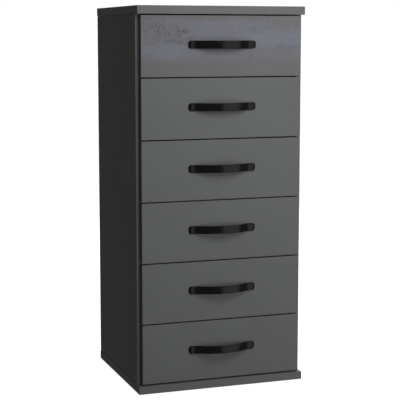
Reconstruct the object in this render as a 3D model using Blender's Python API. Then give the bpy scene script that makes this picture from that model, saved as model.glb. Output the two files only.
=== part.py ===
"""Tall chest of six drawers, flat-pack construction, in metres.

+Z is up and the drawer fronts face -Y. The origin is on the floor, at the middle of the
whole chest's bounding box, handles included. Drawer 1 is the top one.
"""

import math

import bmesh
import bpy
from mathutils import Vector

# Overall sizes
HEIGHT = 1.030  # floor to top
WIDTH = 0.470  # across the top and base panels
DEPTH = 0.404  # of the top and base panels, front to back
DRAWERS = 6

# Boards
PLATE_T = 0.022  # top and base panels
SIDE_T = 0.016  # side panels
FRONT_T = 0.016  # drawer fronts
RAIL_T = 0.016  # cross rail
BOX_T = 0.012  # drawer box sides and backs
BACK_T = 0.003  # hardboard back panel
BOTTOM_T = 0.003  # hardboard drawer bottoms

# Carcass
SIDE_INSET = 0.0012  # side panel's outer face behind the plates' ends
GLIDE_H = 0.004
GLIDE_R = 0.015
GLIDE_INSET = 0.040  # glide's axis from the base panel's edges
BACK_INSET = 0.010  # back panel's rear face before the panels' rear edges
BACK_GROOVE = 0.007
RAIL_DEPTH = 0.070

# Drawer fronts
FRONT_RECESS = 0.006  # front's face behind the plates' front edges
FRONT_INSET = 0.0115  # front's end inside the plates' ends
FRONT_GAP = 0.003  # between two fronts
PLATE_GAP = 0.003  # between a front and the top or base panel
BUMPER_GAP = 0.0008  # between a closed front and the side panels' edges

# Drawer boxes
BOX_LIFT = 0.014  # box's lower edge above the front's lower edge
BOX_DROP = 0.0345  # box's upper edge below the front's upper edge
BOX_SIDE_GAP = 0.002  # box to side panel, each side
BOX_REAR_GAP = 0.019  # box to back panel
BOTTOM_LIFT = 0.010  # hardboard above the box's lower edge
BOTTOM_GROOVE = 0.005

# Runners
RUNNER_H = 0.016
RUNNER_GROOVE = 0.007  # groove's depth in the drawer side
RUNNER_SIDE_PLAY = 0.0007  # runner's nose to the groove's floor
RUNNER_DROP_PLAY = 0.0012  # under the runner, in the groove
RUNNER_SETBACK = 0.012  # behind the side panel's front edge
RUNNER_REAR_GAP = 0.030  # runner's end to back panel

# Handles
HANDLE_L = 0.1895
HANDLE_W = 0.021
HANDLE_T = 0.004
HANDLE_PROJECTION = 0.0275  # front's face to the top of the arch
HANDLE_LIFT = 0.004  # above the front's middle
HANDLE_TAB = 0.0145  # end that lies on the front
HANDLE_FILLET_R = 0.026  # hollow bend between tab and arch
HANDLE_END_R = 0.0075  # rounded corners of the tab
HANDLE_END_T = 0.0010  # thickness at the tab's very end
HANDLE_BEVEL_L = 0.0060  # length over which the tab thins
HANDLE_CHAMFER = 0.0006
HANDLE_SPACING = 0.160  # between the two screws
SCREW_HOLE_R = 0.0025

# Edges and joints
PLATE_EDGE = 0.0010
FRONT_EDGE = 0.0008
BOARD_EDGE = 0.0005
PLASTIC_EDGE = 0.0010
JOINT_GAP = 0.0003  # between pieces that touch

# Places that follow from the sizes
HANDLE_OVERHANG = HANDLE_PROJECTION - FRONT_RECESS
Y_PLATE_FRONT = (HANDLE_OVERHANG - DEPTH) / 2
Y_PLATE_BACK = Y_PLATE_FRONT + DEPTH
Y_FRONT_FACE = Y_PLATE_FRONT + FRONT_RECESS
Y_FRONT_BACK = Y_FRONT_FACE + FRONT_T
Y_SIDE_FRONT = Y_FRONT_BACK + BUMPER_GAP
Y_BACK_PANEL = Y_PLATE_BACK - BACK_INSET - BACK_T
Y_BOX_FRONT = Y_FRONT_BACK + JOINT_GAP
Y_BOX_BACK = Y_BACK_PANEL - BOX_REAR_GAP
Z_BASE = GLIDE_H
Z_BASE_TOP = Z_BASE + PLATE_T
Z_TOP_UNDER = HEIGHT - PLATE_T
X_SIDE_OUTER = WIDTH / 2 - SIDE_INSET
X_SIDE_INNER = X_SIDE_OUTER - SIDE_T
X_BOX_OUTER = X_SIDE_INNER - BOX_SIDE_GAP
X_BOX_INNER = X_BOX_OUTER - BOX_T
X_FRONT_END = WIDTH / 2 - FRONT_INSET
CLEAR_SPAN = Z_TOP_UNDER - Z_BASE_TOP - 2 * PLATE_GAP
FRONT_H = (CLEAR_SPAN - (DRAWERS - 1) * FRONT_GAP) / DRAWERS
FRONT_PITCH = FRONT_H + FRONT_GAP
BOX_H = FRONT_H - BOX_LIFT - BOX_DROP
THROUGH = 0.010  # how far a cutter runs past the board it cuts


def front_bottom(number):
    """Height of the lower edge of a drawer front, counted from the top one."""
    return Z_TOP_UNDER - PLATE_GAP - FRONT_H - (number - 1) * FRONT_PITCH


def handle_height(number):
    return front_bottom(number) + FRONT_H / 2 + HANDLE_LIFT


def runner_bottom(number):
    """Height of a runner's lower edge: the runner is at half the box's height."""
    return front_bottom(number) + BOX_LIFT + (BOX_H - RUNNER_H) / 2


def bottom_groove(number):
    """Lowest and highest z of the groove that holds a drawer's hardboard bottom."""
    low_z = front_bottom(number) + BOX_LIFT + BOTTOM_LIFT
    return low_z - JOINT_GAP, low_z + BOTTOM_T + JOINT_GAP


def clear_scene():
    for old in list(bpy.data.objects):
        bpy.data.objects.remove(old, do_unlink=True)


def finish(name, colour, roughness, metallic=0.0):
    """A Principled material."""
    material = bpy.data.materials.new(name)
    material.use_nodes = True
    shader = material.node_tree.nodes["Principled BSDF"]
    shader.inputs["Base Color"].default_value = (*colour, 1.0)
    shader.inputs["Roughness"].default_value = roughness
    shader.inputs["Metallic"].default_value = metallic
    material.diffuse_color = (*colour, 1.0)
    return material


def group(name, place):
    """An empty that holds the pieces which move together."""
    empty = bpy.data.objects.new(name, None)
    empty.empty_display_size = 0.03
    empty.location = place
    bpy.context.scene.collection.objects.link(empty)
    return empty


def add(name, mesh, centre, parent):
    """An object for the mesh, with its origin at a place in the world."""
    piece = bpy.data.objects.new(name, mesh)
    piece.parent = parent
    piece.location = Vector(centre) - parent.location
    bpy.context.scene.collection.objects.link(piece)
    return piece


def to_mesh(form, name):
    mesh = bpy.data.meshes.new(name)
    form.to_mesh(mesh)
    form.free()
    return mesh


def block(name, low, high, parent):
    """A rectangular block between two corners, with its origin at its centre."""
    low, high = Vector(low), Vector(high)
    form = bmesh.new()
    bmesh.ops.create_cube(form, size=1.0)
    bmesh.ops.scale(form, vec=high - low, verts=form.verts)
    return add(name, to_mesh(form, name), (low + high) / 2, parent)


def ease_edges(piece, width, segments):
    bevel = piece.modifiers.new("eased edges", "BEVEL")
    bevel.width = width
    bevel.segments = segments
    bevel.limit_method = "ANGLE"


def board(name, low, high, material, parent, edge=BOARD_EDGE, segments=1):
    """A board with eased edges."""
    piece = block(name, low, high, parent)
    piece.data.materials.append(material)
    ease_edges(piece, edge, segments)
    return piece


def cut(piece, cutter):
    """Takes a cutter away from a piece."""
    cutter.hide_render = True
    cutter.display_type = "WIRE"
    boolean = piece.modifiers.new(cutter.name, "BOOLEAN")
    boolean.operation = "DIFFERENCE"
    boolean.solver = "EXACT"
    boolean.object = cutter


def groove(piece, use, low, high):
    """A straight groove, as the block of air between two corners."""
    cut(piece, block(f"{piece.name}_{use}_cutter", low, high, piece.parent))


def drill(piece, use, centre, radius, length):
    """A round hole along Y."""
    name = f"{piece.name}_{use}_cutter"
    form = bmesh.new()
    bmesh.ops.create_cone(
        form, cap_ends=True, segments=16, radius1=radius, radius2=radius, depth=length
    )
    cutter = add(name, to_mesh(form, name), centre, piece.parent)
    cutter.rotation_euler.x = math.radians(90)
    cut(piece, cutter)


def make_plate(name, low_z, groove_z, material, parent):
    """Top or base panel, with a groove for the back panel in its inner face."""
    half = WIDTH / 2
    plate = board(
        name,
        (-half, Y_PLATE_FRONT, low_z),
        (half, Y_PLATE_BACK, low_z + PLATE_T),
        material,
        parent,
        PLATE_EDGE,
        2,
    )
    reach = X_SIDE_INNER + BACK_GROOVE
    groove(
        plate,
        "back_groove",
        (-reach, Y_BACK_PANEL - JOINT_GAP, groove_z - BACK_GROOVE),
        (reach, Y_BACK_PANEL + BACK_T + JOINT_GAP, groove_z + BACK_GROOVE),
    )


def make_side_panel(name, side, material, parent):
    """Side panel between the plates, grooved for the back panel. side is -1 or 1."""
    low_x, high_x = sorted((side * X_SIDE_INNER, side * X_SIDE_OUTER))
    panel = board(
        name,
        (low_x, Y_SIDE_FRONT, Z_BASE_TOP + JOINT_GAP),
        (high_x, Y_PLATE_BACK, Z_TOP_UNDER - JOINT_GAP),
        material,
        parent,
    )
    mouth, floor = X_SIDE_INNER - THROUGH, X_SIDE_INNER + BACK_GROOVE
    low_x, high_x = sorted((side * mouth, side * floor))
    groove(
        panel,
        "back_groove",
        (low_x, Y_BACK_PANEL - JOINT_GAP, Z_BASE_TOP - THROUGH),
        (high_x, Y_BACK_PANEL + BACK_T + JOINT_GAP, Z_TOP_UNDER + THROUGH),
    )


def make_back_panel(material, parent):
    reach = BACK_GROOVE - JOINT_GAP
    board(
        "back_panel",
        (-X_SIDE_INNER - reach, Y_BACK_PANEL, Z_BASE_TOP - reach),
        (X_SIDE_INNER + reach, Y_BACK_PANEL + BACK_T, Z_TOP_UNDER + reach),
        material,
        parent,
    )


def make_cross_rail(material, parent):
    """Ties the side panels together, behind the gap between the two middle drawers."""
    middle = front_bottom(DRAWERS // 2) - FRONT_GAP / 2
    half = X_SIDE_INNER - JOINT_GAP
    board(
        "cross_rail",
        (-half, Y_SIDE_FRONT, middle - RAIL_T / 2),
        (half, Y_SIDE_FRONT + RAIL_DEPTH, middle + RAIL_T / 2),
        material,
        parent,
    )


def make_glide(name, centre_x, centre_y, material, parent):
    """Round plastic glide under the base panel."""
    height = GLIDE_H - JOINT_GAP
    form = bmesh.new()
    bmesh.ops.create_cone(
        form, cap_ends=True, segments=24, radius1=GLIDE_R, radius2=GLIDE_R, depth=height
    )
    glide = add(name, to_mesh(form, name), (centre_x, centre_y, height / 2), parent)
    glide.data.materials.append(material)
    ease_edges(glide, PLASTIC_EDGE, 1)
    glide.data.shade_smooth()
    glide.data.set_sharp_from_angle(angle=math.radians(40))


def make_runner(name, number, side, material, parent):
    """Plastic strip on the side panel, with its nose in the drawer side's groove."""
    nose = X_BOX_OUTER - RUNNER_GROOVE + RUNNER_SIDE_PLAY
    low_x, high_x = sorted((side * nose, side * (X_SIDE_INNER - JOINT_GAP)))
    low_z = runner_bottom(number)
    board(
        name,
        (low_x, Y_SIDE_FRONT + RUNNER_SETBACK, low_z),
        (high_x, Y_BACK_PANEL - RUNNER_REAR_GAP, low_z + RUNNER_H),
        material,
        parent,
        PLASTIC_EDGE,
    )


def make_drawer_front(number, material, parent):
    low_z = front_bottom(number)
    front = board(
        f"drawer_front_{number}",
        (-X_FRONT_END, Y_FRONT_FACE, low_z),
        (X_FRONT_END, Y_FRONT_BACK, low_z + FRONT_H),
        material,
        parent,
        FRONT_EDGE,
        2,
    )
    reach = X_BOX_INNER + BOTTOM_GROOVE
    low_groove, high_groove = bottom_groove(number)
    groove(
        front,
        "bottom_groove",
        (-reach, Y_FRONT_BACK - BOTTOM_GROOVE, low_groove),
        (reach, Y_FRONT_BACK + THROUGH, high_groove),
    )
    for side in (-1, 1):
        drill(
            front,
            f"screw_{side + 2}",
            (side * HANDLE_SPACING / 2, Y_FRONT_FACE + FRONT_T / 2, handle_height(number)),
            SCREW_HOLE_R,
            FRONT_T + 2 * THROUGH,
        )


def make_drawer_side(name, number, side, material, parent):
    """Box side, grooved outside for the runner and inside for the bottom."""
    low_z = front_bottom(number) + BOX_LIFT
    low_x, high_x = sorted((side * X_BOX_INNER, side * X_BOX_OUTER))
    piece = board(
        name,
        (low_x, Y_BOX_FRONT, low_z),
        (high_x, Y_BOX_BACK, low_z + BOX_H),
        material,
        parent,
    )
    mouth, floor = X_BOX_OUTER + THROUGH, X_BOX_OUTER - RUNNER_GROOVE
    low_x, high_x = sorted((side * mouth, side * floor))
    groove(
        piece,
        "runner_groove",
        (low_x, Y_BOX_FRONT - THROUGH, runner_bottom(number) - RUNNER_DROP_PLAY),
        (high_x, Y_BOX_BACK + THROUGH, runner_bottom(number) + RUNNER_H + JOINT_GAP),
    )
    mouth, floor = X_BOX_INNER - THROUGH, X_BOX_INNER + BOTTOM_GROOVE
    low_x, high_x = sorted((side * mouth, side * floor))
    low_groove, high_groove = bottom_groove(number)
    groove(
        piece,
        "bottom_groove",
        (low_x, Y_BOX_FRONT - THROUGH, low_groove),
        (high_x, Y_BOX_BACK + THROUGH, high_groove),
    )


def make_drawer_back(number, material, parent):
    """Stands on the hardboard bottom, between the box sides."""
    half = X_BOX_INNER - JOINT_GAP
    board(
        f"drawer_back_{number}",
        (-half, Y_BOX_BACK - BOX_T, bottom_groove(number)[1]),
        (half, Y_BOX_BACK, front_bottom(number) + BOX_LIFT + BOX_H),
        material,
        parent,
    )


def make_drawer_bottom(number, material, parent):
    reach = BOTTOM_GROOVE - JOINT_GAP
    low_groove, high_groove = bottom_groove(number)
    board(
        f"drawer_bottom_{number}",
        (-X_BOX_INNER - reach, Y_FRONT_BACK - reach, low_groove + JOINT_GAP),
        (X_BOX_INNER + reach, Y_BOX_BACK, high_groove - JOINT_GAP),
        material,
        parent,
    )


def strap_stations():
    """The handle's centre line, from its left end to its right.

    Each station is (along, out, angle, width, thickness). The arch and the hollow bends are
    arcs that meet in line, so one angle turns the strap's face all along them. Towards its end
    a tab narrows along a quarter circle and thins in a bevel, and its back stays on the front.
    """
    end = HANDLE_L / 2
    tab_out = JOINT_GAP + HANDLE_T / 2
    rise = HANDLE_PROJECTION - HANDLE_T / 2 - tab_out
    bend_start = end - HANDLE_TAB
    both_radii = (bend_start**2 + rise**2) / (2 * rise)
    arch_r = both_radii - HANDLE_FILLET_R
    turn = math.asin(bend_start / both_radii)

    right_half = []
    for step in range(11):
        angle = turn * step / 10
        out = tab_out + rise - arch_r * (1 - math.cos(angle))
        right_half.append((arch_r * math.sin(angle), out, angle, HANDLE_W, HANDLE_T))
    for step in range(1, 6):
        angle = turn * (1 - step / 5)
        along = bend_start - HANDLE_FILLET_R * math.sin(angle)
        out = tab_out + HANDLE_FILLET_R * (1 - math.cos(angle))
        right_half.append((along, out, angle, HANDLE_W, HANDLE_T))
    for step in range(7):
        around = math.radians(90) * step / 6
        from_end = HANDLE_END_R * (1 - math.sin(around))
        width = HANDLE_W - 2 * HANDLE_END_R * (1 - math.cos(around))
        thinned = max(0.0, 1 - from_end / HANDLE_BEVEL_L)
        thickness = HANDLE_T - (HANDLE_T - HANDLE_END_T) * thinned
        right_half.append((end - from_end, JOINT_GAP + thickness / 2, 0.0, width, thickness))
    left_half = [(-along, out, -angle, *size) for along, out, angle, *size in right_half[:0:-1]]
    return left_half + right_half


def strap_section(width, thickness):
    """The strap's cross-section as (out, up) corners: a flat bar with chamfered edges."""
    half_t, half_w = thickness / 2, width / 2
    chamfer = min(HANDLE_CHAMFER, half_t / 2, half_w / 2)
    corners = [(half_t, half_w - chamfer), (half_t - chamfer, half_w)]
    upper = corners + [(-out, up) for out, up in reversed(corners)]
    return upper + [(-out, -up) for out, up in upper]


def make_handle(number, material, parent):
    """Arched strap: rings of the cross-section along the centre line, joined and capped."""
    name = f"drawer_handle_{number}"
    form = bmesh.new()
    rings = []
    for along, out, angle, width, thickness in strap_stations():
        ring = []
        for thick, up in strap_section(width, thickness):
            x = along + thick * math.sin(angle)
            y = -(out + thick * math.cos(angle))
            ring.append(form.verts.new((x, y, up)))
        rings.append(ring)
    for left, right in zip(rings, rings[1:]):
        for i in range(len(left)):
            j = (i + 1) % len(left)
            form.faces.new((left[i], left[j], right[j], right[i]))
    form.faces.new(rings[0])
    form.faces.new(rings[-1])
    bmesh.ops.recalc_face_normals(form, faces=form.faces)
    handle = add(name, to_mesh(form, name), (0, Y_FRONT_FACE, handle_height(number)), parent)
    handle.data.materials.append(material)
    handle.data.shade_smooth()
    handle.data.set_sharp_from_angle(angle=math.radians(30))


def make_carcass(graphite, hardboard, black_plastic, runner_plastic):
    carcass = group("carcass", (0, 0, 0))
    make_plate("top_panel", Z_TOP_UNDER, Z_TOP_UNDER, graphite, carcass)
    make_plate("base_panel", Z_BASE, Z_BASE_TOP, graphite, carcass)
    make_back_panel(hardboard, carcass)
    make_cross_rail(graphite, carcass)
    for side, hand in ((-1, "left"), (1, "right")):
        make_side_panel(f"side_panel_{hand}", side, graphite, carcass)
        glide_x = side * (WIDTH / 2 - GLIDE_INSET)
        make_glide(f"glide_front_{hand}", glide_x, Y_PLATE_FRONT + GLIDE_INSET, black_plastic, carcass)
        make_glide(f"glide_rear_{hand}", glide_x, Y_PLATE_BACK - GLIDE_INSET, black_plastic, carcass)
        for number in range(1, DRAWERS + 1):
            make_runner(f"runner_{number}_{hand}", number, side, runner_plastic, carcass)


def make_drawer(number, front_finish, box_finish, hardboard, black_metal):
    """One drawer. Its empty lies on the slide's line, at the middle of the front's face."""
    drawer = group(f"drawer_{number}", (0, Y_FRONT_FACE, front_bottom(number) + FRONT_H / 2))
    make_drawer_front(number, front_finish, drawer)
    make_handle(number, black_metal, drawer)
    make_drawer_side(f"drawer_side_left_{number}", number, -1, box_finish, drawer)
    make_drawer_side(f"drawer_side_right_{number}", number, 1, box_finish, drawer)
    make_drawer_back(number, box_finish, drawer)
    make_drawer_bottom(number, hardboard, drawer)


def main():
    clear_scene()
    graphite = finish("graphite_melamine", (0.105, 0.110, 0.107), 0.45)
    steel_decor = finish("steel_look_melamine", (0.145, 0.150, 0.165), 0.40)
    drawer_board = finish("drawer_board", (0.42, 0.42, 0.41), 0.55)
    hardboard = finish("hardboard", (0.30, 0.30, 0.29), 0.60)
    black_metal = finish("black_lacquered_metal", (0.010, 0.010, 0.011), 0.35)
    black_plastic = finish("black_plastic", (0.020, 0.020, 0.020), 0.50)
    runner_plastic = finish("runner_plastic", (0.09, 0.09, 0.09), 0.40)
    make_carcass(graphite, hardboard, black_plastic, runner_plastic)
    for number in range(1, DRAWERS + 1):
        front_finish = steel_decor if number == 1 else graphite
        make_drawer(number, front_finish, drawer_board, hardboard, black_metal)


main()
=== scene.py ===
# %% [markdown]
# # A tall chest of six drawers
#
# The chest is flat-pack furniture. Two 22 mm plates hold two side panels between them, six
# drawers run on plastic strips, and each drawer has an arched steel handle. The boards are
# chipboard under dark grey melamine, and the top drawer wears a cloudy steel decor.
#
# A measured model of every board already exists. This script loads it, covers each board with
# a finer piece, and gives every piece its own finish. Lengths are in metres, Z is up, and the
# drawers face -Y.

import math

import bmesh
import bpy
from mathutils import Matrix, Vector


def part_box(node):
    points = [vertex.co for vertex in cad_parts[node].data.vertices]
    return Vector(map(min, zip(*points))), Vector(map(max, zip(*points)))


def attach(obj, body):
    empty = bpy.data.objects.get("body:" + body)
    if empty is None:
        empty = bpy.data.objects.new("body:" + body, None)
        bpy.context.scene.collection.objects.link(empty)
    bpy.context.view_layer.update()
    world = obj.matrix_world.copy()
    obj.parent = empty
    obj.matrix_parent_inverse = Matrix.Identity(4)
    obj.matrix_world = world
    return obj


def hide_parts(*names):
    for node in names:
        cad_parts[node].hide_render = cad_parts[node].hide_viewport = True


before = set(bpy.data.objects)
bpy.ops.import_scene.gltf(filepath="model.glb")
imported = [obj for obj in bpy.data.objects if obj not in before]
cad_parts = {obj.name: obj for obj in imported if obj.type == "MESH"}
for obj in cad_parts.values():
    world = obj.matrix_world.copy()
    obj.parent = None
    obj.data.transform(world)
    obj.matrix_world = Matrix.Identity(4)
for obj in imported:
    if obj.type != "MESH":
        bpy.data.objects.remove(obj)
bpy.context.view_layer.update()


def middle_of(node_name):
    """The middle of a measured node's box."""
    low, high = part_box(node_name)
    return (low + high) / 2


# %% [markdown]
# ## The camera
#
# A long lens from three and a half metres keeps the chest's upright lines almost parallel, as
# in a catalogue. The camera stands to the left of the chest, near the height of its top plate,
# and looks slightly down, so the left side shows as a narrow dark strip.

# %% Place the camera
lens = bpy.data.cameras.new("camera")
lens.sensor_width = 36
lens.lens = 109.8
lens.shift_y = -0.03
camera = bpy.data.objects.new("camera", lens)
camera.location = (-1.130, -3.216, 0.949)
camera.rotation_euler = (math.radians(90 - 7.06), 0, math.radians(-19.41))
bpy.context.scene.collection.objects.link(camera)
bpy.context.scene.camera = camera
print("camera is", round(camera.location.length, 2), "m from the middle of the floor")

# %% [markdown]
# ## Writing node trees as sums
#
# A node tree is a sum with boxes for signs. `Value` wraps one socket, so `1 - grain * 0.3`
# adds the Math nodes that it needs. `Nodes` makes any other node from its type, its settings
# and what goes into its sockets. The same two classes write materials, the studio's world and
# the Geometry Nodes further down.

# %% Value and Nodes
class Value:
    """A socket that can be used in a sum."""

    def __init__(self, nodes, socket):
        self.nodes = nodes
        self.socket = socket

    def __add__(self, other):
        return self.nodes.math("ADD", self, other)

    def __sub__(self, other):
        return self.nodes.math("SUBTRACT", self, other)

    def __rsub__(self, other):
        return self.nodes.math("SUBTRACT", other, self)

    def __mul__(self, other):
        return self.nodes.math("MULTIPLY", self, other)

    def __truediv__(self, other):
        return self.nodes.math("DIVIDE", self, other)


class Nodes:
    """A node tree that is being written."""

    def __init__(self, tree):
        self.tree = tree

    def node(self, kind, settings=None, sockets=None, output=0):
        """Adds a node. Settings come first, because they decide which sockets there are."""
        made = self.tree.nodes.new(kind)
        for name, setting in (settings or {}).items():
            if name == "stops":
                self.set_stops(made.color_ramp, setting)
            else:
                setattr(made, name, setting)
        for name, value in (sockets or {}).items():
            self.feed(made, name, value)
        outputs = [socket for socket in made.outputs if socket.enabled]
        if isinstance(output, str):
            return Value(self, next(socket for socket in outputs if socket.name == output))
        return Value(self, outputs[output]) if outputs else made

    def feed(self, made, name, value):
        """Puts a value or a link into a socket, by its name or its place among the enabled ones."""
        inputs = [socket for socket in made.inputs if socket.enabled]
        socket = inputs[name] if isinstance(name, int) else next(s for s in inputs if s.name == name)
        if isinstance(value, Value):
            self.tree.links.new(value.socket, socket)
        else:
            socket.default_value = value

    def set_stops(self, ramp, stops):
        """Gives a colour ramp its (place, colour) stops."""
        while len(ramp.elements) < len(stops):
            ramp.elements.new(0.5)
        for element, (place, colour) in zip(ramp.elements, stops):
            element.position = place
            element.color = (*colour, 1.0)

    def math(self, operation, *values):
        return self.node("ShaderNodeMath", {"operation": operation}, dict(enumerate(values)))

    def split(self, vector):
        """The three parts of a vector."""
        parts = self.node("ShaderNodeSeparateXYZ", {}, {"Vector": vector}).socket.node.outputs
        return [Value(self, parts[axis]) for axis in "XYZ"]


print("sums become Math nodes")

# %% [markdown]
# ## The studio
#
# Product pictures of furniture are lit with large soft lamps. The main lamp stands close, a
# little above the top plate, so its light fades quickly towards the lower drawers. A broad fill
# lamp near the floor softens the shadows under the handles, and a weak high one lights the
# upper edges. A tall lamp further right is what the black handles reflect, and one behind the
# chest is there for views of its rear. The room itself is dim, which keeps the left side dark.
# The floor is white, and its own light is left out, because the dark side shows none.

# %% Light the studio
scene = bpy.context.scene
scene.view_settings.view_transform = "Standard"
scene.view_settings.look = "None"

world = bpy.data.worlds.new("studio")
world.use_nodes = True
scene.world = world
room = Nodes(world.node_tree)
world.node_tree.nodes.clear()
backdrop = room.node("ShaderNodeBackground", {}, {"Color": (1, 1, 1, 1), "Strength": 1.0})
dim_room = room.node("ShaderNodeBackground", {}, {"Color": (0.97, 1.0, 0.96, 1), "Strength": 0.112})
seen = room.node("ShaderNodeLightPath", output="Is Camera Ray")
mixed = room.node("ShaderNodeMixShader", {}, {0: seen, 1: dim_room, 2: backdrop})
room.node("ShaderNodeOutputWorld", {}, {"Surface": mixed})


def soft_lamp(name, place, aim, width, height, power, in_gloss=True):
    """A rectangular lamp that faces a point. The camera doesn't see it."""
    data = bpy.data.lights.new(name, "AREA")
    data.shape = "RECTANGLE"
    data.size = width
    data.size_y = height
    data.energy = power
    lamp = bpy.data.objects.new(name, data)
    lamp.location = place
    lamp.rotation_euler = (Vector(aim) - Vector(place)).to_track_quat("-Z", "Y").to_euler()
    lamp.visible_camera = False
    lamp.visible_glossy = in_gloss
    scene.collection.objects.link(lamp)


soft_lamp("main_lamp", (0.22, -1.25, 1.35), (0, -0.2, 0.9), 1.0, 0.7, 12.9, in_gloss=False)
soft_lamp("high_lamp", (0.40, -1.20, 1.90), (0, -0.2, 0.9), 1.0, 0.8, 1.8, in_gloss=False)
soft_lamp("fill_lamp", (0.70, -2.40, 0.20), (0, -0.2, 0.5), 1.8, 1.0, 13.2, in_gloss=False)
soft_lamp("tall_lamp", (1.42, -2.06, 0.3), (0, -0.2, 0.3), 2.02, 2.8, 9.4)
soft_lamp("rear_lamp", (1.6, 2.2, 1.8), (0, 0.2, 0.5), 1.8, 1.8, 45)

# %% Lay the floor
form = bmesh.new()
bmesh.ops.create_circle(form, cap_ends=True, segments=96, radius=9.0)
floor_mesh = bpy.data.meshes.new("floor")
form.to_mesh(floor_mesh)
form.free()
floor = bpy.data.objects.new("floor", floor_mesh)
scene.collection.objects.link(floor)
floor.visible_diffuse = False
floor.visible_glossy = False
floor.visible_shadow = False
floor_finish = bpy.data.materials.new("white_floor")
floor_finish.use_nodes = True
floor_shader = floor_finish.node_tree.nodes["Principled BSDF"]
floor_shader.inputs["Base Color"].default_value = (0.8, 0.8, 0.8, 1)
floor_shader.inputs["Roughness"].default_value = 0.9
floor_shader.inputs["Emission Color"].default_value = (1, 1, 1, 1)
floor_shader.inputs["Emission Strength"].default_value = 0.95
floor_mesh.materials.append(floor_finish)

# %% [markdown]
# ## The finishes
#
# Every pattern is worked out from Object coordinates, which here are the chest's own metres.
# Each piece cuts its share out of one block of pattern, so no two boards look alike, and
# nothing has to be unwrapped.

# %% A finish
class Finish(Nodes):
    """A material with one Principled shader, and short names for the usual patterns."""

    def __init__(self, name, roughness=0.5, metallic=0.0, specular=0.5):
        self.material = bpy.data.materials.new(name)
        self.material.use_nodes = True
        super().__init__(self.material.node_tree)
        self.shader = self.tree.nodes["Principled BSDF"]
        self.shader.inputs["Roughness"].default_value = roughness
        self.shader.inputs["Metallic"].default_value = metallic
        self.shader.inputs["Specular IOR Level"].default_value = specular
        self.place = self.node("ShaderNodeTexCoord", output="Object")

    def spread(self, x=1.0, y=1.0, z=1.0, shift=(0, 0, 0)):
        """The place, scaled along each axis."""
        sockets = {"Vector": self.place, "Scale": (x, y, z), "Location": shift}
        return self.node("ShaderNodeMapping", {}, sockets)

    def noise(self, place, scale, detail=2.0, roughness=0.5):
        sockets = {"Vector": place, "Scale": scale, "Detail": detail, "Roughness": roughness}
        return self.node("ShaderNodeTexNoise", {}, sockets)

    def ramp(self, factor, *stops):
        return self.node("ShaderNodeValToRGB", {"stops": stops}, {0: factor})

    def blend(self, factor, first, second):
        """Mixes two colours."""
        first, second = [(*c, 1.0) if isinstance(c, tuple) else c for c in (first, second)]
        settings = {"data_type": "RGBA"}
        return self.node("ShaderNodeMix", settings, {0: factor, 1: first, 2: second})

    def step(self, value, start, end):
        """Rises smoothly from 0 to 1 as the value goes from start to end."""
        settings = {"interpolation_type": "SMOOTHSTEP"}
        sockets = {"Value": value, "From Min": start, "From Max": end}
        return self.node("ShaderNodeMapRange", settings, sockets)

    def bump(self, height, depth):
        """Feeds a relief to the shader's normal. depth is in metres."""
        sockets = {"Height": height, "Distance": depth}
        self.feed(self.shader, "Normal", self.node("ShaderNodeBump", {}, sockets))

    def set(self, name, value):
        if isinstance(value, tuple):
            value = (*value, 1.0)
        self.feed(self.shader, name, value)

    def coat(self, pattern, dark, light, swing, gloss, depth):
        """Colour, roughness and relief that follow one pattern."""
        self.set("Base Color", self.blend(pattern, dark, light))
        self.set("Roughness", pattern * swing + gloss)
        self.bump(pattern, depth)


print("a finish starts from one Principled shader")

# %% Graphite melamine
def make_graphite(name, colour, gloss, relief):
    """Plain dark melamine: a fine pearl relief with almost no change of colour."""
    finish = Finish(name)
    pearl = finish.noise(finish.place, 1400, 2.0)
    cloud = finish.noise(finish.place, 9, 3.0)
    tint = finish.step(cloud * 0.7 + pearl * 0.3, 0.25, 0.75)
    dark = tuple(c * 0.965 for c in colour)
    light = tuple(c * 1.035 for c in colour)
    finish.set("Base Color", finish.blend(tint, dark, light))
    finish.set("Roughness", pearl * 0.08 + (gloss - 0.04))
    finish.bump(pearl, relief)
    return finish.material


graphite = make_graphite("graphite_melamine", (0.100, 0.105, 0.103), 0.46, 0.00004)
graphite_band = make_graphite("graphite_edge_band", (0.0980, 0.1020, 0.1005), 0.38, 0.00001)
print("graphite:", graphite.name, graphite_band.name)

# %% [markdown]
# ## The steel decor of the top drawer
#
# The decor paper imitates a weathered steel sheet. Three pale blue patches drift over a mauve
# grey, two rosy ones lie at the right, and the long edges are a plain brown grey. Clusters of
# small dark rings look like old hammer marks, and fine pits darken all but the lowest part. It
# is all printed, so it changes the colour and hardly touches the relief.
#
# Each patch is a soft oval whose place is bent by noise, which leaves the layout in hand. A
# plain noise texture could give clouds too, but not in chosen places.

# %% Steel decor
MAUVE = (0.116, 0.112, 0.125)
SLATE = (0.106, 0.111, 0.127)
PALE_BLUE = (0.122, 0.131, 0.158)
ROSE_GREY = (0.112, 0.103, 0.109)
BROWN_GREY = (0.097, 0.0955, 0.0955)
SOOT = (0.048, 0.047, 0.054)
PALE_EDGE = (0.165, 0.165, 0.175)


def patch(finish, along, up, centre, reach, slope=0.0):
    """A soft oval patch: 1 in its middle, 0 outside its reach. It falls by slope to the right."""
    across = (along - centre[0]) / reach[0]
    rise = (up - centre[1] + (along - centre[0]) * slope) / reach[1]
    return 1 - finish.step(across * across + rise * rise, 0.2, 1.0)


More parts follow.
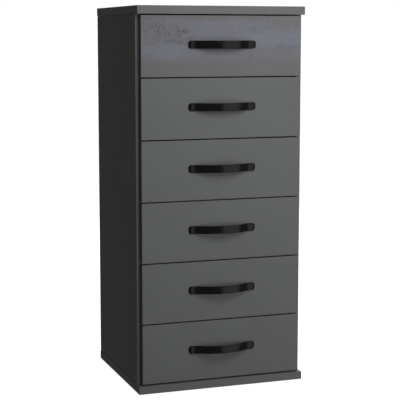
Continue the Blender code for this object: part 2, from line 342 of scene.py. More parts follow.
def steel_colour(finish, along, up):
    """The large clouds, from the mauve ground to the rosy patches that lie on top."""
    drift = finish.noise(finish.spread(6, 6, 20), 1.0, 4.0) - 0.5
    smoke = finish.noise(finish.spread(16, 16, 60), 1.0, 7.0, 0.72) - 0.5
    grit = finish.noise(finish.place, 150, 5.0, 0.7) - 0.5
    height = up + drift * 0.045 + smoke * 0.055
    reach = along + drift * 0.110
    blue = patch(finish, reach, height, (-0.175, -0.016), (0.125, 0.021), -0.04) * 0.75
    blue = blue + patch(finish, reach, height, (-0.025, 0.038), (0.150, 0.036)) * 0.50
    blue = blue + patch(finish, reach, height, (0.170, 0.021), (0.130, 0.031), -0.02) * 0.90
    lower = 1 - finish.step(height, -0.050, -0.024)
    upper = finish.step(height, 0.060, 0.078)
    colour = finish.blend(finish.step(smoke, -0.15, 0.15), MAUVE, SLATE)
    colour = finish.blend(finish.step(blue + smoke * 1.5 + grit * 1.1, 0.05, 1.10), colour, PALE_BLUE)
    colour = finish.blend(finish.step(lower + upper, 0.0, 1.0) * 0.85, colour, BROWN_GREY)
    rosy = patch(finish, reach, height, (0.190, 0.058), (0.085, 0.024))
    rosy = rosy + patch(finish, reach, height, (0.120, -0.055), (0.080, 0.022)) * 0.5
    return finish.blend(finish.step(rosy + grit * 1.1, 0.05, 1.0) * 0.8, colour, ROSE_GREY)


def hammer_marks(finish, along, up):
    """Clusters of small dark rings."""
    bent = finish.node(
        "ShaderNodeVectorMath",
        {"operation": "ADD"},
        {0: finish.place, 1: finish.noise(finish.place, 60, 2.0) * 0.02},
    )
    cell = finish.node(
        "ShaderNodeTexVoronoi", {"feature": "F1"}, {"Vector": bent, "Scale": 44}, output="Distance"
    )
    rings = 1 - finish.step(finish.math("ABSOLUTE", cell - 0.33), 0.02, 0.15)
    where = patch(finish, along, up, (-0.148, 0.034), (0.095, 0.034), 0.23)
    smaller = (
        ((0.040, 0.045), (0.034, 0.014), 0.7),
        ((0.110, 0.042), (0.045, 0.012), 0.6),
        ((0.075, -0.028), (0.045, 0.008), 0.5),
        ((-0.040, -0.021), (0.012, 0.012), 0.8),
        ((0.190, -0.004), (0.050, 0.012), 0.5),
    )
    for centre, reach, strength in smaller:
        where = where + patch(finish, along, up, centre, reach) * strength
    broken = finish.step(finish.noise(finish.place, 110, 4.0, 0.6), 0.32, 0.60)
    mottle = finish.step(finish.noise(finish.place, 190, 4.0, 0.7), 0.46, 0.66)
    return (rings * broken * 0.75 + mottle * 0.50) * where


def make_steel_decor(name, node_name):
    finish = Finish(name)
    middle = middle_of(node_name)
    centred = finish.spread(shift=(-middle.x, 0, -middle.z))
    along, _, up = finish.split(centred)
    marks = hammer_marks(finish, along, up)
    pits = finish.step(finish.noise(finish.spread(250, 250, 110), 1.0, 4.0, 0.7), 0.50, 0.72)
    pitted = marks * 0.80 + pits * finish.step(up, -0.060, 0.010) * 0.38
    colour = finish.blend(pitted, steel_colour(finish, along, up), SOOT)
    brushed = finish.noise(finish.spread(22, 22, 800), 1.0, 3.0)
    grain = finish.noise(finish.place, 480, 4.0, 0.6)
    streaks = finish.noise(finish.spread(30, 30, 260), 1.0, 5.0, 0.7)
    shine = finish.step(brushed * 0.25 + grain * 0.25 + streaks * 0.5, 0.35, 0.72)
    finish.set("Base Color", finish.blend(shine * 0.22, colour, PALE_EDGE))
    finish.set("Roughness", grain * 0.08 + marks * 0.08 + 0.38)
    finish.bump(grain * 0.7 + brushed * 0.3, 0.00003)
    return finish.material


steel_decor = make_steel_decor("steel_look_melamine", "drawer_front_1")
steel_band = make_graphite("steel_edge_band", (0.108, 0.107, 0.112), 0.38, 0.00001)
print("decor nodes:", len(steel_decor.node_tree.nodes))

# %% [markdown]
# ## The finishes that hide inside and behind
#
# Chipboard shows wherever a board was cut and not banded: its rear edges, its grooves and its
# holes. Cells of random colour make the chips. The drawer boxes are thin chipboard in grey
# foil with a printed linen weave. The hardboard is grey lacquer on one side and bare brown
# fibre on the other.

# %% Chipboard, foil and hardboard
def make_chipboard():
    finish = Finish("raw_chipboard", roughness=0.85, specular=0.3)
    chips = finish.node(
        "ShaderNodeTexVoronoi",
        {"feature": "F1"},
        {"Vector": finish.place, "Scale": 420, "Randomness": 1.0},
        output="Color",
    )
    shade = finish.node("ShaderNodeSeparateColor", {}, {"Color": chips})
    fibres = finish.noise(finish.place, 900, 4.0, 0.7)
    mix = shade * 0.7 + fibres * 0.3
    stops = (0.15, (0.16, 0.095, 0.045)), (0.45, (0.36, 0.245, 0.135)), (0.85, (0.58, 0.45, 0.29))
    finish.set("Base Color", finish.ramp(mix, *stops))
    finish.bump(mix, 0.0004)
    return finish.material


def make_foil():
    """Grey foil with a printed linen weave, one thread in about a millimetre."""
    finish = Finish("linen_foil")
    warp = finish.noise(finish.spread(950, 950, 60), 1.0, 2.0)
    weft = finish.noise(finish.spread(60, 60, 950), 1.0, 2.0)
    weave = finish.step(warp + weft, 0.75, 1.25)
    finish.coat(weave, (0.345, 0.350, 0.345), (0.455, 0.460, 0.450), 0.1, 0.45, 0.00005)
    return finish.material


def make_grey_lacquer():
    finish = Finish("grey_lacquer")
    roller = finish.noise(finish.spread(40, 700, 700), 1.0, 3.0)
    finish.coat(roller, (0.285, 0.290, 0.285), (0.335, 0.340, 0.335), 0.12, 0.42, 0.00003)
    return finish.material


def make_fibre():
    finish = Finish("brown_fibre", roughness=0.8, specular=0.3)
    fibres = finish.noise(finish.place, 260, 6.0, 0.75)
    mesh = finish.noise(finish.spread(1200, 1200, 1200), 1.0, 1.0)
    stops = (0.3, (0.105, 0.058, 0.030)), (0.55, (0.190, 0.112, 0.060)), (0.75, (0.270, 0.175, 0.100))
    finish.set("Base Color", finish.ramp(fibres * 0.75 + mesh * 0.25, *stops))
    finish.bump(mesh, 0.0002)
    return finish.material


raw_chipboard = make_chipboard()
linen_foil = make_foil()
grey_lacquer = make_grey_lacquer()
brown_fibre = make_fibre()
print("inside:", raw_chipboard.name, linen_foil.name, grey_lacquer.name, brown_fibre.name)

# %% [markdown]
# ## Metal and plastic
#
# The handles are steel with a satin black lacquer, which is never quite flat. Screws and cams
# are bright zinc, a little cloudy. Runners and glides are moulded plastic with a fine spark
# eroded skin.

# %% Lacquer, zinc and plastic
def make_lacquer():
    finish = Finish("black_lacquered_metal", specular=0.42)
    ripple = finish.noise(finish.place, 700, 2.0)
    dust = finish.noise(finish.place, 2600, 1.0)
    finish.set("Base Color", finish.blend(dust, (0.0022, 0.0022, 0.0023), (0.0036, 0.0036, 0.0037)))
    finish.set("Roughness", ripple * 0.07 + 0.17)
    finish.bump(ripple, 0.00002)
    return finish.material


def make_zinc():
    finish = Finish("zinc_plated_steel", metallic=1.0)
    cloud = finish.noise(finish.place, 500, 4.0)
    finish.set("Base Color", finish.blend(cloud, (0.48, 0.48, 0.47), (0.68, 0.67, 0.64)))
    finish.set("Roughness", cloud * 0.25 + 0.22)
    return finish.material


def make_plastic(name, dark, light, gloss):
    finish = Finish(name)
    skin = finish.noise(finish.place, 2200, 2.0)
    finish.coat(skin, dark, light, 0.1, gloss, 0.00003)
    return finish.material


black_lacquer = make_lacquer()
zinc = make_zinc()
black_plastic = make_plastic("black_plastic", (0.016, 0.016, 0.016), (0.024, 0.024, 0.024), 0.45)
runner_plastic = make_plastic("runner_plastic", (0.080, 0.080, 0.080), (0.100, 0.100, 0.098), 0.34)
print("metal and plastic:", black_lacquer.name, zinc.name, black_plastic.name, runner_plastic.name)

# %% [markdown]
# ## Boards
#
# A board could be a cube with a Bevel modifier. Here it is made in bmesh instead, because each
# side of a real board has its own skin: melamine on the two faces, a plastic band on the
# edges that show, bare chipboard on those that don't. Each face of the mesh picks its finish
# by the way that it faces.

# %% Make a board
DIRECTIONS = {
    "left": Vector((-1, 0, 0)),
    "right": Vector((1, 0, 0)),
    "front": Vector((0, -1, 0)),
    "back": Vector((0, 1, 0)),
    "under": Vector((0, 0, -1)),
    "upper": Vector((0, 0, 1)),
}


def plain_piece(name, form, *finishes):
    """Turns a bmesh into an object at the origin."""
    mesh = bpy.data.meshes.new(name)
    form.to_mesh(mesh)
    form.free()
    for finish in finishes:
        mesh.materials.append(finish)
    piece = bpy.data.objects.new(name, mesh)
    scene.collection.objects.link(piece)
    return piece


def block_form(low, high):
    form = bmesh.new()
    bmesh.ops.create_cube(form, size=1.0)
    bmesh.ops.scale(form, vec=Vector(high) - Vector(low), verts=form.verts)
    bmesh.ops.translate(form, vec=(Vector(high) + Vector(low)) / 2, verts=form.verts)
    return form


def board(name, low, high, skin, rounding=0.0008, **sides):
    """A board with rounded edges. sides names the finish of any side that isn't plain skin."""
    form = block_form(low, high)
    bmesh.ops.bevel(form, geom=form.edges[:], offset=rounding, segments=3, profile=0.5, affect="EDGES")
    finishes = [skin]
    for face in form.faces:
        facing = {side: face.normal.dot(way) for side, way in DIRECTIONS.items()}
        nearest = max(facing, key=lambda side: facing[side] + (0.05 if side in sides else 0.0))
        finish = sides.get(nearest, skin)
        if finish not in finishes:
            finishes.append(finish)
        face.material_index = finishes.index(finish)
        face.smooth = facing[nearest] < 0.999
    return plain_piece(name, form, *finishes)


def like_node(name, node_name, skin, rounding=0.0008, **sides):
    """A board in the place of a measured node."""
    low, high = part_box(node_name)
    return board(name, low, high, skin, rounding, **sides)


# %% [markdown]
# A groove or a hole is a Boolean. The cutter carries a finish, in a board raw chipboard, and
# the Boolean passes it to the faces that it cuts, as a saw would. The result is turned into a
# plain mesh at once, so nothing stays live.

# %% Cut grooves and holes
OVERSHOOT = 0.01  # how far a cutter stands out of the board that it cuts


def settle(piece):
    """Replaces a piece's mesh with the result of its modifiers, and removes them."""
    graph = bpy.context.evaluated_depsgraph_get()
    result = bpy.data.meshes.new_from_object(piece.evaluated_get(graph))
    piece.modifiers.clear()
    piece.data = result
    result.name = piece.name


def cut(piece, forms, finish):
    """Cuts shapes out of a piece. The new faces get the finish."""
    merged = bmesh.new()
    for form in forms:
        part = bpy.data.meshes.new("cutter")
        form.to_mesh(part)
        form.free()
        merged.from_mesh(part)
        bpy.data.meshes.remove(part)
    cutter = plain_piece("cutter", merged, finish)
    boolean = piece.modifiers.new("cut", "BOOLEAN")
    boolean.operation = "DIFFERENCE"
    boolean.solver = "EXACT"
    boolean.material_mode = "TRANSFER"
    boolean.object = cutter
    settle(piece)
    bpy.data.objects.remove(cutter, do_unlink=True)


def rod_form(centre, direction, radius, length, segments=32):
    """A round rod about a centre, along a direction."""
    form = bmesh.new()
    turn = Vector(direction).to_track_quat("Z", "Y").to_matrix().to_4x4()
    place = Matrix.Translation(centre) @ turn
    bmesh.ops.create_cone(
        form, cap_ends=True, segments=segments, radius1=radius, radius2=radius, depth=length, matrix=place
    )
    return form


def groove_form(face_x, depth, low, high):
    """A cutter for a groove in a side face, from low (y, z) to high. Its depth has a sign in X."""
    mouth = face_x - math.copysign(OVERSHOOT, depth)
    floor_x = face_x + depth
    return block_form((min(mouth, floor_x), *low), (max(mouth, floor_x), *high))


print("boards can be made and cut")

# %% [markdown]
# ## The carcass
#
# The top and base plates run over the side panels. They are banded in front and at both ends,
# and their rear edges are bare. The side panels stand about a millimetre inside their ends.

# %% Plates, side panels, rail and back
DRAWER_NUMBERS = range(1, 7)
HANDS = {"left": -1, "right": 1}  # the sign of X on each hand
BACK_GROOVE = 0.007  # depth of the groove for the back panel
PLAY = 0.0003  # air between pieces that touch
CAM_HOLE_R = 0.0076
CAM_HOLE_L = 0.024  # half of it lies in the board
CAM_SETBACK = 0.034  # from the end of the side panel to the middle of a cam
CAM_FRONT_INSET = 0.050  # from the side panel's front edge to the first cam
CAM_REAR_INSET = 0.060  # from its rear edge to the second

top_low, top_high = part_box("top_panel")
base_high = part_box("base_panel")[1]
back_low, back_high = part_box("back_panel")
side_low, side_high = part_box("side_panel_right")
print("plate is", round((top_high.z - top_low.z) * 1000), "mm thick")

cam_heights = (side_low.z + CAM_SETBACK, side_high.z - CAM_SETBACK)
cam_depths = (side_low.y + CAM_FRONT_INSET, side_high.y - CAM_REAR_INSET)
carcass = []
for name, groove_z in (("top_panel", top_low.z), ("base_panel", base_high.z)):
    plate = like_node(
        f"{name}_board", name, graphite, 0.0010,
        left=graphite_band, right=graphite_band, front=graphite_band, back=raw_chipboard,
    )
    groove = block_form(
        (back_low.x - PLAY, back_low.y - PLAY, groove_z - BACK_GROOVE),
        (back_high.x + PLAY, back_high.y + PLAY, groove_z + BACK_GROOVE),
    )
    cut(plate, [groove], raw_chipboard)
    carcass.append((plate, name, "graphite_melamine"))

for hand, side in HANDS.items():
    name = f"side_panel_{hand}"
    panel = like_node(
        f"{name}_board", name, graphite, 0.0006,
        front=graphite_band, back=raw_chipboard, upper=raw_chipboard, under=raw_chipboard,
    )
    inner = side * side_low.x
    groove = groove_form(
        inner,
        side * BACK_GROOVE,
        (back_low.y - PLAY, side_low.z - OVERSHOOT),
        (back_high.y + PLAY, side_high.z + OVERSHOOT),
    )
    holes = [
        rod_form((inner, depth, height), (1, 0, 0), CAM_HOLE_R, CAM_HOLE_L)
        for depth in cam_depths
        for height in cam_heights
    ]
    cut(panel, [groove] + holes, raw_chipboard)
    carcass.append((panel, name, "graphite_melamine"))

rail = like_node(
    "cross_rail_board", "cross_rail", graphite, 0.0005,
    left=raw_chipboard, right=raw_chipboard, back=raw_chipboard, front=graphite_band,
)
carcass.append((rail, "cross_rail", "graphite_melamine"))
back = like_node("back_panel_board", "back_panel", brown_fibre, 0.0004, front=grey_lacquer)
carcass.append((back, "back_panel", "hardboard"))

for piece, node_name, slot_name in carcass:
    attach(piece, "carcass")
    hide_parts(node_name)
print("carcass boards:", [piece.name for piece, _, _ in carcass])

# %% [markdown]
# ## Runners and glides
#
# A runner is a moulded strip with rounded edges and three sunk holes for its screws. All
# twelve are one mesh: it is moved up or down for the other drawers, and mirrored for the left
# side. A mirror turns a mesh inside out, so its normals are worked out again.

# %% Runners
RUNNER_SCREWS = 3
RUNNER_SCREW_INSET = 0.030  # from the runner's end to its first screw
SINK_R = 0.0046  # of the wide part of a runner's screw hole
SINK_DEPTH = 0.0042  # of that part


def screw_places(low, high):
    """Where the runner's screws stand along it."""
    step = (high.y - low.y - 2 * RUNNER_SCREW_INSET) / (RUNNER_SCREWS - 1)
    return [low.y + RUNNER_SCREW_INSET + step * i for i in range(RUNNER_SCREWS)]


def moved_copy(name, piece, shift, mirrored=False):
    """A copy of a piece, moved, and mirrored in X if asked."""
    form = bmesh.new()
    form.from_mesh(piece.data)
    bmesh.ops.translate(form, vec=shift, verts=form.verts)
    if mirrored:
        bmesh.ops.scale(form, vec=(-1, 1, 1), verts=form.verts)
        bmesh.ops.recalc_face_normals(form, faces=form.faces)
    return plain_piece(name, form, *piece.data.materials)


run_low, run_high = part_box("runner_1_right")
first_runner = like_node("runner_pattern", "runner_1_right", runner_plastic, 0.0014)
run_z = middle_of("runner_1_right").z
sinks = [
    rod_form((run_low.x, y, run_z), (1, 0, 0), SINK_R, 2 * SINK_DEPTH)
    for y in screw_places(run_low, run_high)
]
cut(first_runner, sinks, runner_plastic)
for number in DRAWER_NUMBERS:
    for hand in HANDS:
        node_name = f"runner_{number}_{hand}"
        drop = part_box(node_name)[0].z - run_low.z
        runner = moved_copy(f"{node_name}_strip", first_runner, (0, 0, drop), hand == "left")
        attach(runner, "carcass")
        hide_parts(node_name)
bpy.data.objects.remove(first_runner, do_unlink=True)
print("twelve runners,", round(run_high.y - run_low.y, 3), "m long")

# %% [markdown]
# A glide is turned: a profile is spun round the upright axis. Its foot is slightly domed, with
# a ring groove round the nail in its middle.

# %% Glides
def lathe_form(profile, centre, segments=48):
    """Spins a profile of (radius, height) points round an upright axis."""
    form = bmesh.new()
    points = [form.verts.new((radius, 0, height)) for radius, height in profile]
    edges = [form.edges.new(pair) for pair in zip(points, points[1:])]
    bmesh.ops.spin(form, geom=points + edges, axis=(0, 0, 1), angle=math.tau, steps=segments, use_merge=True)
    bmesh.ops.remove_doubles(form, verts=form.verts, dist=1e-6)
    bmesh.ops.recalc_face_normals(form, faces=form.faces)
    for face in form.faces:
        face.smooth = True
    bmesh.ops.translate(form, vec=centre, verts=form.verts)
    return form


for corner in ("front_left", "front_right", "rear_left", "rear_right"):
    node_name = f"glide_{corner}"
    low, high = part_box(node_name)
    middle = middle_of(node_name)
    radius = (high.x - low.x) / 2
    height = high.z - low.z
    profile = [
        (0, 0.0009), (0.0022, 0.0009), (0.0028, 0.0015), (0.0040, 0.0015), (0.0046, 0.0002),
        (radius * 0.62, 0), (radius * 0.86, 0.0003), (radius * 0.97, 0.0011), (radius, 0.0021),
        (radius, height - 0.0003), (radius - 0.0003, height), (0, height),
    ]
    turned_form = lathe_form(profile, (middle.x, middle.y, low.z))
    glide = plain_piece(f"{node_name}_foot", turned_form, black_plastic)
    glide.data.set_sharp_from_angle(angle=math.radians(38))
    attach(glide, "carcass")
    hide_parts(node_name)
print("glide radius", round(radius, 4))

# %% [markdown]
# ## The drawers
#
# Each front is a 16 mm board, banded all round with the band's edge rounded. The box behind it
# is thinner chipboard in foil. A groove along the outside of each box side takes the runner,
# and a groove inside holds the hardboard bottom, which is slid in under the back.

# %% Drawer fronts and boxes
HANDLE_SPACING = 0.160
HOLE_R = 0.0025  # of the holes for the handle's screws
HOLE_L = 0.04  # of the cutter, longer than the front is thick
RUNNER_GROOVE = 0.007  # depth in the box side
RUNNER_DROP = 0.0012  # air under the runner
BOTTOM_GROOVE = 0.005  # depth in the box side
BOX_CAM_HOLE_R = 0.0061
BOX_CAM_HOLE_L = 0.018  # half of it lies in the box side
BOX_CAM_SETBACK = 0.024  # from the box side's front end to the middle of its cam
BOX_CAM_DROP = 0.022  # from its upper edge


def drawer_boards(number):
    """Makes the boards of one drawer, and returns them with the nodes that they stand for."""
    face_finish, band_finish = (steel_decor, steel_band) if number == 1 else (graphite, graphite_band)
    front_name = f"drawer_front_{number}"
    low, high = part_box(front_name)
    handle_z = middle_of(f"drawer_handle_{number}").z
    bottom_low, bottom_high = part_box(f"drawer_bottom_{number}")
    band = {side: band_finish for side in ("left", "right", "under", "upper")}
    front = like_node(f"{front_name}_board", front_name, face_finish, 0.0008, back=linen_foil, **band)
    groove = block_form(
        (bottom_low.x - PLAY, bottom_low.y - PLAY, bottom_low.z - PLAY),
        (bottom_high.x + PLAY, high.y + OVERSHOOT, bottom_high.z + PLAY),
    )
    holes = [
        rod_form((side * HANDLE_SPACING / 2, (low.y + high.y) / 2, handle_z), (0, 1, 0), HOLE_R, HOLE_L, 24)
        for side in (-1, 1)
    ]
    cut(front, [groove] + holes, raw_chipboard)
    pieces = [(front, front_name, "steel_look_melamine" if number == 1 else "graphite_melamine")]

    for hand, side in HANDS.items():
        name = f"drawer_side_{hand}_{number}"
        low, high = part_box(name)
        wall = like_node(f"{name}_board", name, linen_foil, 0.0006, front=raw_chipboard, back=raw_chipboard)
        outer = side * max(abs(low.x), abs(high.x))
        inner = side * min(abs(low.x), abs(high.x))
        run_low, run_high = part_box(f"runner_{number}_{hand}")
        runner_groove = groove_form(
            outer,
            -side * RUNNER_GROOVE,
            (low.y - OVERSHOOT, run_low.z - RUNNER_DROP),
            (high.y + OVERSHOOT, run_high.z + PLAY),
        )
        bottom_groove = groove_form(
            inner,
            side * BOTTOM_GROOVE,
            (low.y - OVERSHOOT, bottom_low.z - PLAY),
            (high.y + OVERSHOOT, bottom_high.z + PLAY),
        )
        cam_hole = rod_form(box_cam_place(number, side), (1, 0, 0), BOX_CAM_HOLE_R, BOX_CAM_HOLE_L)
        cut(wall, [runner_groove, bottom_groove, cam_hole], raw_chipboard)
        pieces.append((wall, name, "drawer_board"))

    name = f"drawer_back_{number}"
    rear = like_node(
        f"{name}_board", name, linen_foil, 0.0006,
        left=raw_chipboard, right=raw_chipboard, under=raw_chipboard,
    )
    pieces.append((rear, name, "drawer_board"))
    name = f"drawer_bottom_{number}"
    sheet = like_node(f"{name}_board", name, grey_lacquer, 0.0003, under=brown_fibre, back=brown_fibre)
    pieces.append((sheet, name, "hardboard"))
    return pieces


def box_cam_place(number, side):
    """The middle of the cam that ties a box side to the front, on the side's inner face."""
    low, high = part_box(f"drawer_side_right_{number}")
    return Vector((side * low.x, low.y + BOX_CAM_SETBACK, high.z - BOX_CAM_DROP))


for number in DRAWER_NUMBERS:
    for piece, node_name, slot_name in drawer_boards(number):
        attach(piece, f"drawer_{number}")
        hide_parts(node_name)
print("six drawers boarded")

# %% [markdown]
# ## The handles
#
# The handle is a flat steel strap, 21 by 4 mm, bent into a low arch, with a hollow bend before
# each foot. A path runs along the middle of its thickness, made of arcs that meet in line. The
# node tree sweeps a rounded section along it with Curve to Mesh. The feet also narrow and thin
# towards their ends, which Curve to Mesh can't do differently in width and thickness, so each
# point carries its own width and thickness, and is moved to its place by them.

# %% The handle's path
STRAP_W = 0.021
STRAP_T = 0.004
STRAP_EDGE = 0.0009  # rounding of the strap's long edges
FOOT = 0.0145  # straight end that lies on the front
HOLLOW_R = 0.026  # radius of the hollow bend
END_R = 0.0075  # rounding of the foot's corners
END_T = 0.0010  # thickness at the very end
BEVEL_L = 0.0060  # length over which the foot thins
SOFT_START = 0.2  # share of that length in which the thinning sets in
ARCH_STEPS = 24  # in half of the arch
BEND_STEPS = 12
FOOT_STEPS = 16

front_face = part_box("drawer_front_2")[0].y
first_low, first_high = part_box("drawer_handle_1")
strap_length = first_high.x - first_low.x
projection = front_face - first_low.y


def bevel_share(share):
    """How much of the bevel's drop is reached: it starts softly, then falls straight."""
    share = max(share, 0.0)
    lost = SOFT_START / 2
    if share < SOFT_START:
        return share * share / (2 * SOFT_START)
    return share - lost + lost * (share - SOFT_START) / (1 - SOFT_START)


def strap_path():
    """Stations from the left end to the right: (x, out, turn, width ratio, thickness ratio)."""
    end = strap_length / 2
    foot_out = PLAY + STRAP_T / 2
    rise = projection - STRAP_T / 2 - foot_out
    bend_start = end - FOOT
    both_radii = (bend_start**2 + rise**2) / (2 * rise)
    arch_r = both_radii - HOLLOW_R
    turn = math.asin(bend_start / both_radii)
    half = []
    for i in range(ARCH_STEPS + 1):
        angle = turn * i / ARCH_STEPS
        out = foot_out + rise - arch_r * (1 - math.cos(angle))
        half.append((arch_r * math.sin(angle), out, angle, 1, 1))
    for i in range(1, BEND_STEPS + 1):
        angle = turn * (1 - i / BEND_STEPS)
        along = bend_start - HOLLOW_R * math.sin(angle)
        half.append((along, foot_out + HOLLOW_R * (1 - math.cos(angle)), angle, 1, 1))
    for i in range(FOOT_STEPS + 1):
        round_angle = math.radians(90) * i / FOOT_STEPS
        along = end - END_R * (1 - math.sin(round_angle))
        width = STRAP_W - 2 * END_R * (1 - math.cos(round_angle))
        thickness = STRAP_T - (STRAP_T - END_T) * bevel_share(1 - (end - along) / BEVEL_L)
        half.append((along, PLAY + thickness / 2, 0.0, width / STRAP_W, thickness / STRAP_T))
    return [(-x, out, -angle, wide, thick) for x, out, angle, wide, thick in half[:0:-1]] + half


path_form = bmesh.new()
turn_layer = path_form.verts.layers.float.new("turn")
wide_layer = path_form.verts.layers.float.new("wide")
thick_layer = path_form.verts.layers.float.new("thick")
stations = []
for x, out, angle, wide, thick in strap_path():
    station = path_form.verts.new((x, -out, 0))
    station[turn_layer] = angle
    station[wide_layer] = wide
    station[thick_layer] = thick
    stations.append(station)
for pair in zip(stations, stations[1:]):
    path_form.edges.new(pair)
strap = plain_piece("strap", path_form)
print("strap:", round(strap_length, 4), "long, stands", round(projection, 4), "off the front")
print("stations:", len(stations))

# %% Geometry Nodes with named inputs
class Shape(Nodes):
    """A Geometry Nodes tree that takes a mesh and named inputs, and gives a finished mesh."""

    def __init__(self, name, inputs):
        tree = bpy.data.node_groups.new(name, "GeometryNodeTree")
        super().__init__(tree)
        tree.interface.new_socket("Geometry", in_out="OUTPUT", socket_type="NodeSocketGeometry")
        tree.interface.new_socket("Geometry", in_out="INPUT", socket_type="NodeSocketGeometry")
        self.identifiers = {}
        for label, kind in inputs.items():
            item = tree.interface.new_socket(label, in_out="INPUT", socket_type=kind)
            self.identifiers[label] = item.identifier
        self.entry = tree.nodes.new("NodeGroupInput")

    def given(self, label):
        return Value(self, self.entry.outputs[label])

    def named(self, label, kind="FLOAT"):
        """An attribute that the points carry."""
        return self.node("GeometryNodeInputNamedAttribute", {"data_type": kind}, {"Name": label})

    def end(self, geometry):
        """Real geometry in one finish, which is all that an export can take."""
        real = self.node("GeometryNodeRealizeInstances", {}, {"Geometry": geometry})
        sockets = {"Geometry": real, "Material": self.given("Finish")}
        finished = self.node("GeometryNodeSetMaterial", {}, sockets)
        self.node("NodeGroupOutput", {}, {"Geometry": finished})

    def run(self, piece, **values):
        """Puts the tree on a piece, fills its inputs, and settles the result into a plain mesh."""
        modifier = piece.modifiers.new(self.tree.name, "NODES")
        modifier.node_group = self.tree
        for label, value in values.items():
            modifier[self.identifiers[label.replace("_", " ").capitalize()]] = value
        settle(piece)
        form = bmesh.new()
        form.from_mesh(piece.data)
        bmesh.ops.remove_doubles(form, verts=form.verts, dist=1e-7)
        bmesh.ops.recalc_face_normals(form, faces=form.faces)
        form.to_mesh(piece.data)
        form.free()


# %% Sweep the strap
FLOAT = "NodeSocketFloat"
strap_tree = Shape(
    "strap sweep",
    {"Strap width": FLOAT, "Strap thickness": FLOAT, "Edge radius": FLOAT, "Finish": "NodeSocketMaterial"},
)
path = strap_tree.node("GeometryNodeMeshToCurve", {}, {"Mesh": strap_tree.given("Geometry")})
position = strap_tree.node("GeometryNodeInputPosition")
keep = {"data_type": "FLOAT_VECTOR", "domain": "POINT"}
path = strap_tree.node(
    "GeometryNodeStoreNamedAttribute", keep, {"Geometry": path, "Name": "spine", "Value": position}
)
section = strap_tree.node(
    "GeometryNodeCurvePrimitiveQuadrilateral",
    {"mode": "RECTANGLE"},
    {"Width": strap_tree.given("Strap thickness"), "Height": strap_tree.given("Strap width")},
)
section = strap_tree.node(
    "GeometryNodeFilletCurve",
    {"mode": "POLY"},
    {"Curve": section, "Count": 4, "Radius": strap_tree.given("Edge radius"), "Limit Radius": True},
)
section = strap_tree.node(
    "GeometryNodeStoreNamedAttribute", keep, {"Geometry": section, "Name": "section", "Value": position}
)
skin = strap_tree.node(
    "GeometryNodeCurveToMesh", {}, {"Curve": path, "Profile Curve": section, "Fill Caps": True}
)
spine_x, spine_y, _ = strap_tree.split(strap_tree.named("spine", "FLOAT_VECTOR"))
through, across, _ = strap_tree.split(strap_tree.named("section", "FLOAT_VECTOR"))
turn = strap_tree.named("turn")
out = through * strap_tree.named("thick")
new_x = spine_x + strap_tree.math("SINE", turn) * out
new_y = spine_y - strap_tree.math("COSINE", turn) * out
new_place = strap_tree.node(
    "ShaderNodeCombineXYZ", {}, {"X": new_x, "Y": new_y, "Z": across * strap_tree.named("wide")}
)
skin = strap_tree.node("GeometryNodeSetPosition", {}, {"Geometry": skin, "Position": new_place})
strap_tree.end(skin)

strap_tree.run(
    strap, strap_width=STRAP_W, strap_thickness=STRAP_T, edge_radius=STRAP_EDGE, finish=black_lacquer
)
strap.data.shade_smooth()
strap.data.set_sharp_from_angle(angle=math.radians(35))
for number in DRAWER_NUMBERS:
    node_name = f"drawer_handle_{number}"
    handle = moved_copy(f"{node_name}_strap", strap, (0, front_face, middle_of(node_name).z))
    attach(handle, f"drawer_{number}")
    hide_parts(node_name)
print("strap has", len(strap.data.polygons), "faces")
bpy.data.objects.remove(strap, do_unlink=True)

# %% [markdown]
# ## Screws and cams
#
# Fixings repeat, so one node tree sets them all. It takes a mesh of loose points, each with
# the way that its fixing faces, and puts a copy of a head on every point. Align Rotation to
# Vector turns the head, after a random twist about its own axis, because nobody stops every
# screw with its cross upright.

# %% The tree that sets fixings
fixing_tree = Shape(
    "set fixings",
    {"Head": "NodeSocketObject", "Twist": FLOAT, "Seed": "NodeSocketInt", "Finish": "NodeSocketMaterial"},
)
head = fixing_tree.node(
    "GeometryNodeObjectInfo",
    {},
    {"Object": fixing_tree.given("Head"), "As Instance": True},
    output="Geometry",
)
twist = fixing_tree.given("Twist")
random_twist = fixing_tree.node(
    "FunctionNodeRandomValue",
    {"data_type": "FLOAT"},
    {"Min": twist * -1.0, "Max": twist, "Seed": fixing_tree.given("Seed")},
)
spun = fixing_tree.node("FunctionNodeAxisAngleToRotation", {}, {"Axis": (0, 0, 1), "Angle": random_twist})
turned = fixing_tree.node(
    "FunctionNodeAlignRotationToVector",
    {"axis": "Z"},
    {"Rotation": spun, "Vector": fixing_tree.named("facing", "FLOAT_VECTOR")},
)
copies = fixing_tree.node(
    "GeometryNodeInstanceOnPoints",
    {},
    {"Points": fixing_tree.given("Geometry"), "Instance": head, "Rotation": turned},
)
fixing_tree.end(copies)

ANY_TWIST = 3.14  # half a turn to either side
CAM_TWIST = 0.5  # cams stop near one place, because they are locked


def set_fixings(name, body, head_piece, places, twist_by=ANY_TWIST, seed=1):
    """Sets a zinc head on every (point, facing) of a body, as one plain mesh."""
    form = bmesh.new()
    layer = form.verts.layers.float_vector.new("facing")
    for point, facing in places:
        form.verts.new(point)[layer] = Vector(facing)
    piece = plain_piece(name, form)
    fixing_tree.run(piece, head=head_piece, twist=twist_by, seed=seed, finish=zinc)
    piece.data.set_sharp_from_angle(angle=math.radians(32))
    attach(piece, body)


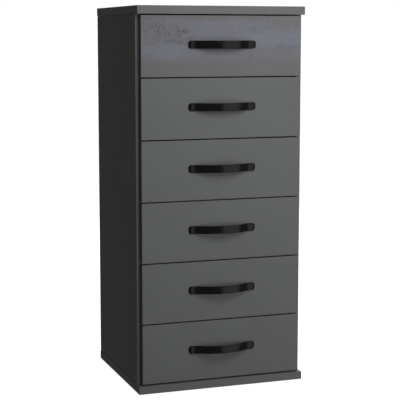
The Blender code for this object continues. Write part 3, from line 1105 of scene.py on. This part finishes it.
# %% The heads
def cross_form(size, width, depth, top):
    """A cross-shaped cutter in one outline, for the recess of a screw head."""
    form = bmesh.new()
    corners = [Vector((size, -width)) / 2, Vector((size, width)) / 2, Vector((width, width)) / 2]
    outline = []
    for quarter in range(4):
        outline += [form.verts.new((*corner, top - depth)) for corner in corners]
        corners = [Vector((-corner.y, corner.x)) for corner in corners]
    floor_face = form.faces.new(outline)
    raised = bmesh.ops.extrude_face_region(form, geom=[floor_face])["geom"]
    lid = [part for part in raised if isinstance(part, bmesh.types.BMVert)]
    bmesh.ops.translate(form, vec=(0, 0, 2 * depth), verts=lid)
    bmesh.ops.recalc_face_normals(form, faces=form.faces)
    return form


def head_pattern(name, profile, recess, segments=20):
    """A turned zinc head with its recess. It faces up, and its seat is at height 0."""
    pattern = plain_piece(name, lathe_form(profile, (0, 0, 0), segments), zinc)
    cut(pattern, [recess], zinc)
    return pattern


FLANGE_T = 0.0004  # a pan head's flange reaches this far under its seat
pan_head = head_pattern(
    "pan_head",
    [
        (0, -FLANGE_T), (0.0049, -FLANGE_T), (0.0051, -0.0002), (0.0051, 0.0006), (0.0048, 0.0008),
        (0.0039, 0.0008), (0.0039, 0.0016), (0.0034, 0.0026), (0.0022, 0.0031), (0, 0.0033),
    ],
    cross_form(0.0042, 0.0009, 0.0014, 0.0034),
)
sunk_head = head_pattern(
    "sunk_head",
    [(0, -0.0022), (0.0019, -0.0022), (0.0038, -0.0003), (0.0038, 0.0), (0, 0.0001)],
    cross_form(0.0040, 0.0009, 0.0013, 0.0001),
)
cam_head = head_pattern(
    "cam_head",
    [
        (0, -0.0090), (0.0073, -0.0090), (0.0073, -0.0010), (0.0068, -0.0004), (0.0056, -0.0004),
        (0.0052, -0.0009), (0.0026, -0.0009), (0, -0.0009),
    ],
    cross_form(0.0064, 0.0012, 0.0024, -0.0008),
    28,
)
box_cam_head = head_pattern(
    "box_cam_head",
    [
        (0, -0.0070), (0.0059, -0.0070), (0.0059, -0.0009), (0.0055, -0.0004), (0.0045, -0.0004),
        (0.0042, -0.0008), (0.0020, -0.0008), (0, -0.0008),
    ],
    cross_form(0.0052, 0.0010, 0.0020, -0.0007),
    24,
)
heads = [pan_head, sunk_head, cam_head, box_cam_head]
print("heads:", {head.name: len(head.data.polygons) for head in heads})

# %% Fixings of the carcass
SUNK_RISE = 0.0003  # a runner's screw stands this far above the floor of its hole

cam_places = []
for side in (-1, 1):
    for depth in cam_depths:
        for height in cam_heights:
            cam_places.append(((side * side_low.x, depth, height), (-side, 0, 0)))
set_fixings("carcass_cams", "carcass", cam_head, cam_places, CAM_TWIST, 2)

runner_places = []
for number in DRAWER_NUMBERS:
    for hand, side in HANDS.items():
        low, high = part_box(f"runner_{number}_{hand}")
        seat = side * (min(abs(low.x), abs(high.x)) + SINK_DEPTH - SUNK_RISE)
        for y in screw_places(low, high):
            runner_places.append(((seat, y, (low.z + high.z) / 2), (-side, 0, 0)))
set_fixings("runner_screws", "carcass", sunk_head, runner_places, seed=3)

print("carcass fixings:", len(cam_places), "cams,", len(runner_places), "runner screws")

# %% Fixings of the drawers
REAR_SCREW_LIFT = 0.028  # from the box side's lower edge to the lower screw
REAR_SCREW_DROP = 0.020  # from its upper edge to the upper one
PROUD = 0.00005  # a sunk head stands this far out of the foil

for number in DRAWER_NUMBERS:
    front_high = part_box(f"drawer_front_{number}")[1]
    handle_z = middle_of(f"drawer_handle_{number}").z
    side_box_low, side_box_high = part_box(f"drawer_side_right_{number}")
    rear_y = middle_of(f"drawer_back_{number}").y
    handle_screws = [
        ((side * HANDLE_SPACING / 2, front_high.y + FLANGE_T, handle_z), (0, 1, 0)) for side in (-1, 1)
    ]
    set_fixings(f"handle_screws_{number}", f"drawer_{number}", pan_head, handle_screws, seed=number)
    box_cams = [(box_cam_place(number, side), (-side, 0, 0)) for side in (-1, 1)]
    set_fixings(f"box_cams_{number}", f"drawer_{number}", box_cam_head, box_cams, CAM_TWIST, number)
    rear_screws = [
        ((side * (side_box_high.x + PROUD), rear_y, height), (side, 0, 0))
        for side in (-1, 1)
        for height in (side_box_low.z + REAR_SCREW_LIFT, side_box_high.z - REAR_SCREW_DROP)
    ]
    set_fixings(f"box_screws_{number}", f"drawer_{number}", sunk_head, rear_screws, seed=10 + number)
for head in heads:
    bpy.data.objects.remove(head, do_unlink=True)
print("drawer fixings set on", len(DRAWER_NUMBERS), "drawers")
